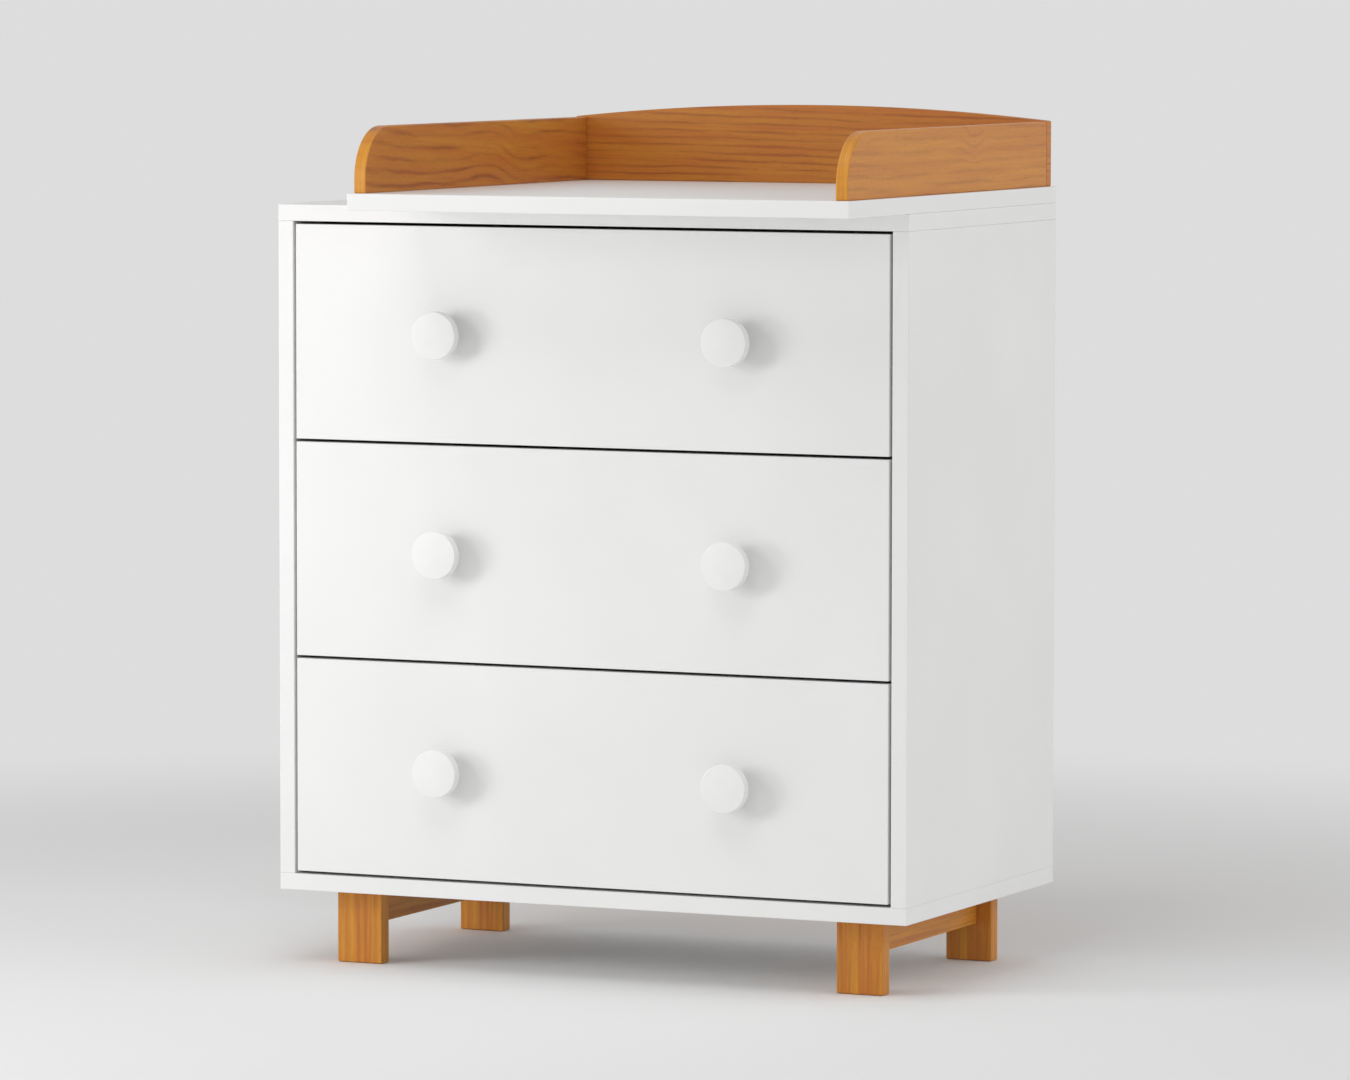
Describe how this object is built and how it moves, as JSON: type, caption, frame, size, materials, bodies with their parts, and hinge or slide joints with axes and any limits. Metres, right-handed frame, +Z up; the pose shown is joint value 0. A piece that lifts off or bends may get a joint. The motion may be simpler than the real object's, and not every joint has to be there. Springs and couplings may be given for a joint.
{
  "type": "changing dresser",
  "caption": "Dresser with inset drawers on telescopic runners, low wooden legs and a railed changing board on top that overhangs the front.",
  "frame": {"origin": "on the floor, under the centre of the whole object's box, drawers closed", "axes": "+Z up, +Y towards the back (the wall), +X to the right as seen from the front; drawers open towards -Y"},
  "size_m": [0.8, 0.615, 1.0074],
  "materials": {
    "white_lacquer": "satin white lacquer over fine board",
    "stained_wood": "honey-brown stain under satin lacquer, plain-sliced figure",
    "knob_paint": "satin white paint over turned wood",
    "box_board": "matt white foil over board",
    "hardboard": "white face, thin hardboard",
    "runner_steel": "bright zinc plate",
    "cage_steel": "plain pressed steel with bright balls",
    "dowel_wood": "bare beech",
    "screw_steel": "zinc plate"
  },
  "bodies": {
    "carcass": {"back_panel": "hardboard", "bottom_panel": "white_lacquer", "cabinet_runners_left": "runner_steel", "cabinet_runners_right": "runner_steel", "changing_board": "white_lacquer", "dowels": "dowel_wood", "leg_front_left": "stained_wood", "leg_front_right": "stained_wood", "leg_rail_left": "stained_wood", "leg_rail_right": "stained_wood", "leg_rear_left": "stained_wood", "leg_rear_right": "stained_wood", "rail_back": "stained_wood", "rail_left": "stained_wood", "rail_right": "stained_wood", "side_panel_left": "white_lacquer", "side_panel_right": "white_lacquer", "top_panel": "white_lacquer", "wood_screws": "screw_steel"},
    "drawer_bottom": {"drawer_bottom_back": "box_board", "drawer_bottom_base": "hardboard", "drawer_bottom_front": "white_lacquer", "drawer_bottom_knobs": "knob_paint", "drawer_bottom_runner_inner": "runner_steel", "drawer_bottom_side_left": "box_board", "drawer_bottom_side_right": "box_board"},
    "middle_members_bottom": {"drawer_bottom_runner_middle": "runner_steel"},
    "outer_cages_bottom": {"drawer_bottom_cage_outer": "cage_steel"},
    "inner_cages_bottom": {"drawer_bottom_cage_inner": "cage_steel"},
    "drawer_middle": {"drawer_middle_back": "box_board", "drawer_middle_base": "hardboard", "drawer_middle_front": "white_lacquer", "drawer_middle_knobs": "knob_paint", "drawer_middle_runner_inner": "runner_steel", "drawer_middle_side_left": "box_board", "drawer_middle_side_right": "box_board"},
    "middle_members_middle": {"drawer_middle_runner_middle": "runner_steel"},
    "outer_cages_middle": {"drawer_middle_cage_outer": "cage_steel"},
    "inner_cages_middle": {"drawer_middle_cage_inner": "cage_steel"},
    "drawer_top": {"drawer_top_back": "box_board", "drawer_top_base": "hardboard", "drawer_top_front": "white_lacquer", "drawer_top_knobs": "knob_paint", "drawer_top_runner_inner": "runner_steel", "drawer_top_side_left": "box_board", "drawer_top_side_right": "box_board"},
    "middle_members_top": {"drawer_top_runner_middle": "runner_steel"},
    "outer_cages_top": {"drawer_top_cage_outer": "cage_steel"},
    "inner_cages_top": {"drawer_top_cage_inner": "cage_steel"}
  },
  "joints": [
    {"name": "drawer_bottom_slide", "type": "slide", "parent": "carcass", "child": "drawer_bottom", "axis": [0, -1, 0], "range_m": [0, 0.4]},
    {"name": "middle_members_bottom_slide", "type": "slide", "parent": "carcass", "child": "middle_members_bottom", "axis": [0, -1, 0], "range_m": [0, 0.2]},
    {"name": "outer_cages_bottom_slide", "type": "slide", "parent": "carcass", "child": "outer_cages_bottom", "axis": [0, -1, 0], "range_m": [0, 0.1]},
    {"name": "inner_cages_bottom_slide", "type": "slide", "parent": "carcass", "child": "inner_cages_bottom", "axis": [0, -1, 0], "range_m": [0, 0.3]},
    {"name": "drawer_middle_slide", "type": "slide", "parent": "carcass", "child": "drawer_middle", "axis": [0, -1, 0], "range_m": [0, 0.4]},
    {"name": "middle_members_middle_slide", "type": "slide", "parent": "carcass", "child": "middle_members_middle", "axis": [0, -1, 0], "range_m": [0, 0.2]},
    {"name": "outer_cages_middle_slide", "type": "slide", "parent": "carcass", "child": "outer_cages_middle", "axis": [0, -1, 0], "range_m": [0, 0.1]},
    {"name": "inner_cages_middle_slide", "type": "slide", "parent": "carcass", "child": "inner_cages_middle", "axis": [0, -1, 0], "range_m": [0, 0.3]},
    {"name": "drawer_top_slide", "type": "slide", "parent": "carcass", "child": "drawer_top", "axis": [0, -1, 0], "range_m": [0, 0.4]},
    {"name": "middle_members_top_slide", "type": "slide", "parent": "carcass", "child": "middle_members_top", "axis": [0, -1, 0], "range_m": [0, 0.2]},
    {"name": "outer_cages_top_slide", "type": "slide", "parent": "carcass", "child": "outer_cages_top", "axis": [0, -1, 0], "range_m": [0, 0.1]},
    {"name": "inner_cages_top_slide", "type": "slide", "parent": "carcass", "child": "inner_cages_top", "axis": [0, -1, 0], "range_m": [0, 0.3]}
  ],
  "couplings": [
    {"joint": "middle_members_bottom_slide", "follows": "drawer_bottom_slide", "ratio": 0.5},
    {"joint": "outer_cages_bottom_slide", "follows": "drawer_bottom_slide", "ratio": 0.25},
    {"joint": "inner_cages_bottom_slide", "follows": "drawer_bottom_slide", "ratio": 0.75},
    {"joint": "middle_members_middle_slide", "follows": "drawer_middle_slide", "ratio": 0.5},
    {"joint": "outer_cages_middle_slide", "follows": "drawer_middle_slide", "ratio": 0.25},
    {"joint": "inner_cages_middle_slide", "follows": "drawer_middle_slide", "ratio": 0.75},
    {"joint": "middle_members_top_slide", "follows": "drawer_top_slide", "ratio": 0.5},
    {"joint": "outer_cages_top_slide", "follows": "drawer_top_slide", "ratio": 0.25},
    {"joint": "inner_cages_top_slide", "follows": "drawer_top_slide", "ratio": 0.75}
  ]
}
